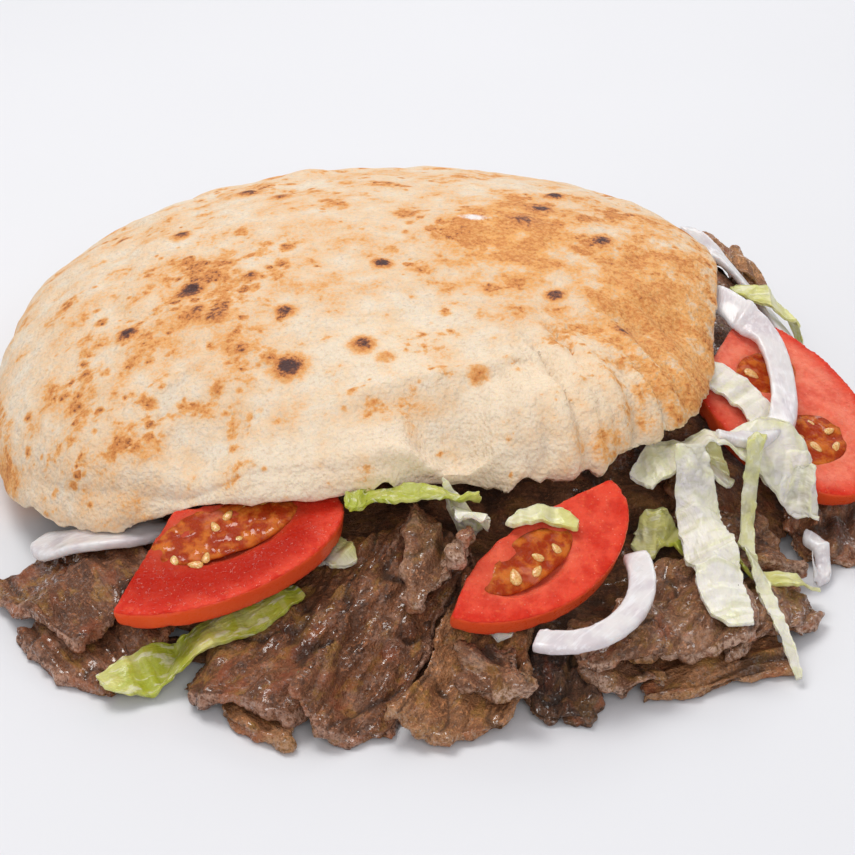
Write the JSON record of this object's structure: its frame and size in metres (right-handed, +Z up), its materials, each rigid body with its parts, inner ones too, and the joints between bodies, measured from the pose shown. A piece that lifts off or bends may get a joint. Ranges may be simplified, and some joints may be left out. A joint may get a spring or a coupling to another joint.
{
  "type": "doner kebab sandwich",
  "caption": "Round flatbread pocket split along its front and side, filled with sliced doner meat, tomato, onion and shredded lettuce that spill out onto the table.",
  "frame": {"origin": "centre of the flat underside of the bread, on the table", "axes": "+Z up; -Y towards the open mouth and the spilled filling; +X to the right of someone facing the mouth"},
  "size_m": [0.2329, 0.2427, 0.0569],
  "materials": {
    "crust": "pale toasted flatbread with brown blisters, matte and floury",
    "meat": "roasted shaved meat, grey-brown, moist with fat",
    "tomato": "ripe raw tomato, wet on the cut face, glossy skin",
    "onion": "raw white onion, translucent and moist",
    "lettuce": "crisp pale lettuce, cream to yellow-green"
  },
  "bodies": {
    "root": {"bread_pocket": "crust", "lettuce_shred_01": "lettuce", "lettuce_shred_02": "lettuce", "lettuce_shred_03": "lettuce", "lettuce_shred_04": "lettuce", "lettuce_shred_05": "lettuce", "lettuce_shred_06": "lettuce", "lettuce_shred_07": "lettuce", "lettuce_shred_08": "lettuce", "lettuce_shred_09": "lettuce", "lettuce_shred_10": "lettuce", "lettuce_shred_11": "lettuce", "lettuce_shred_12": "lettuce", "lettuce_shred_13": "lettuce", "lettuce_shred_14": "lettuce", "lettuce_shred_15": "lettuce", "meat_heap": "meat", "meat_slice_01": "meat", "meat_slice_02": "meat", "meat_slice_03": "meat", "meat_slice_04": "meat", "meat_slice_05": "meat", "meat_slice_06": "meat", "meat_slice_07": "meat", "meat_slice_08": "meat", "meat_slice_09": "meat", "meat_slice_10": "meat", "meat_slice_11": "meat", "meat_slice_12": "meat", "meat_slice_13": "meat", "meat_slice_14": "meat", "meat_slice_15": "meat", "meat_slice_16": "meat", "meat_slice_17": "meat", "onion_ring_2": "onion", "onion_ring_3": "onion", "onion_ring_4": "onion", "onion_ring_5": "onion", "onion_strip_1": "onion", "tomato_slice_1": "tomato", "tomato_slice_2": "tomato", "tomato_slice_3": "tomato"}
  },
  "joints": []
}
